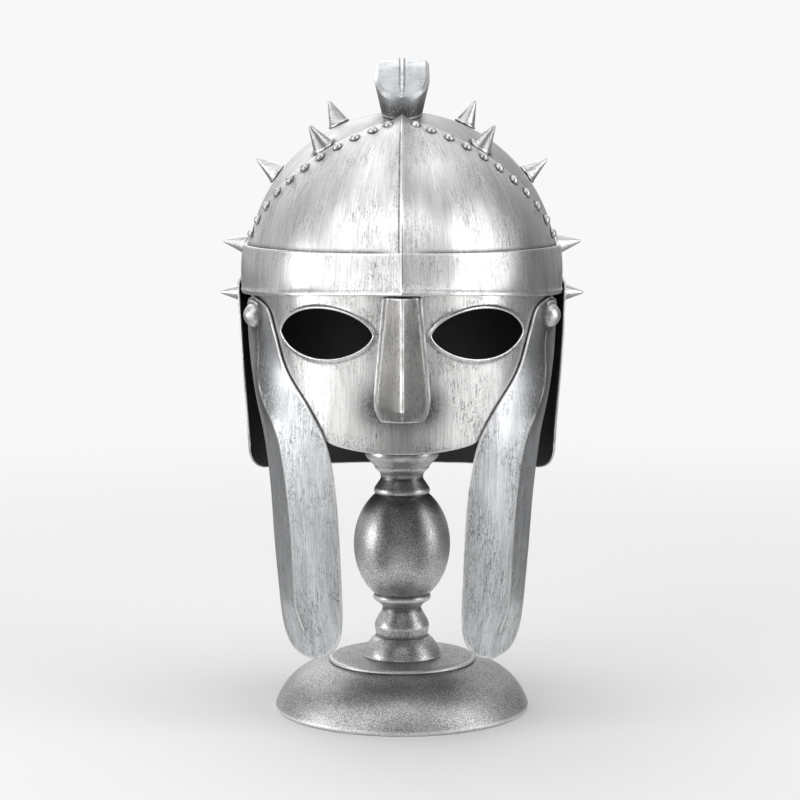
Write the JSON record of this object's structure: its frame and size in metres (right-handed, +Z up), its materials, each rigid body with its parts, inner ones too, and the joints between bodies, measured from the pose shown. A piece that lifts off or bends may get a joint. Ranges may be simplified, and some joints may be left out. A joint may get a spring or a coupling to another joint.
{
  "type": "gladiator helmet on display stand",
  "caption": "Masked sheet-steel helmet with a box comb, riveted brow plate, cone studs, cheek guards and neck guard, resting on a turned metal display stand.",
  "frame": {"origin": "centre of the stand's flat underside", "axes": "+Z up; the face looks along -Y; the wearer's left is +X"},
  "size_m": [0.2612, 0.3023, 0.4626],
  "materials": {
    "antique_silver": "vertically brushed, antiqued with dark patina and bright worn edges; black paint inside",
    "aged_steel": "darker brushed steel with a mottled patina; black paint inside",
    "stand_metal": "satin pewter with a fine sparkling speckle, dark grooves and rubbed bright rings"
  },
  "bodies": {
    "root": {"stand_foot": "stand_metal", "stand_baluster": "stand_metal", "stand_head_rest": "stand_metal", "skull": "aged_steel", "neck_guard": "aged_steel", "nose_guard": "aged_steel", "comb": "antique_silver", "brow_plate": "antique_silver", "brow_band": "antique_silver", "face_mask": "antique_silver", "cheek_guard_left": "antique_silver", "cheek_guard_right": "antique_silver", "temple_boss_left": "antique_silver", "temple_boss_right": "antique_silver", "stud_left_1": "antique_silver", "stud_left_2": "antique_silver", "stud_left_3": "antique_silver", "stud_left_4": "antique_silver", "stud_left_5": "antique_silver", "stud_left_6": "antique_silver", "stud_left_7": "antique_silver", "stud_left_8": "antique_silver", "stud_left_9": "antique_silver", "stud_left_10": "antique_silver", "stud_right_1": "antique_silver", "stud_right_2": "antique_silver", "stud_right_3": "antique_silver", "stud_right_4": "antique_silver", "stud_right_5": "antique_silver", "stud_right_6": "antique_silver", "stud_right_7": "antique_silver", "stud_right_8": "antique_silver", "stud_right_9": "antique_silver", "stud_right_10": "antique_silver", "rivet_left_1": "antique_silver", "rivet_left_2": "antique_silver", "rivet_left_3": "antique_silver", "rivet_left_4": "antique_silver", "rivet_left_5": "antique_silver", "rivet_left_6": "antique_silver", "rivet_left_7": "antique_silver", "rivet_left_8": "antique_silver", "rivet_left_9": "antique_silver", "rivet_left_10": "antique_silver", "rivet_left_11": "antique_silver", "rivet_right_1": "antique_silver", "rivet_right_2": "antique_silver", "rivet_right_3": "antique_silver", "rivet_right_4": "antique_silver", "rivet_right_5": "antique_silver", "rivet_right_6": "antique_silver", "rivet_right_7": "antique_silver", "rivet_right_8": "antique_silver", "rivet_right_9": "antique_silver", "rivet_right_10": "antique_silver", "rivet_right_11": "antique_silver"}
  },
  "joints": []
}
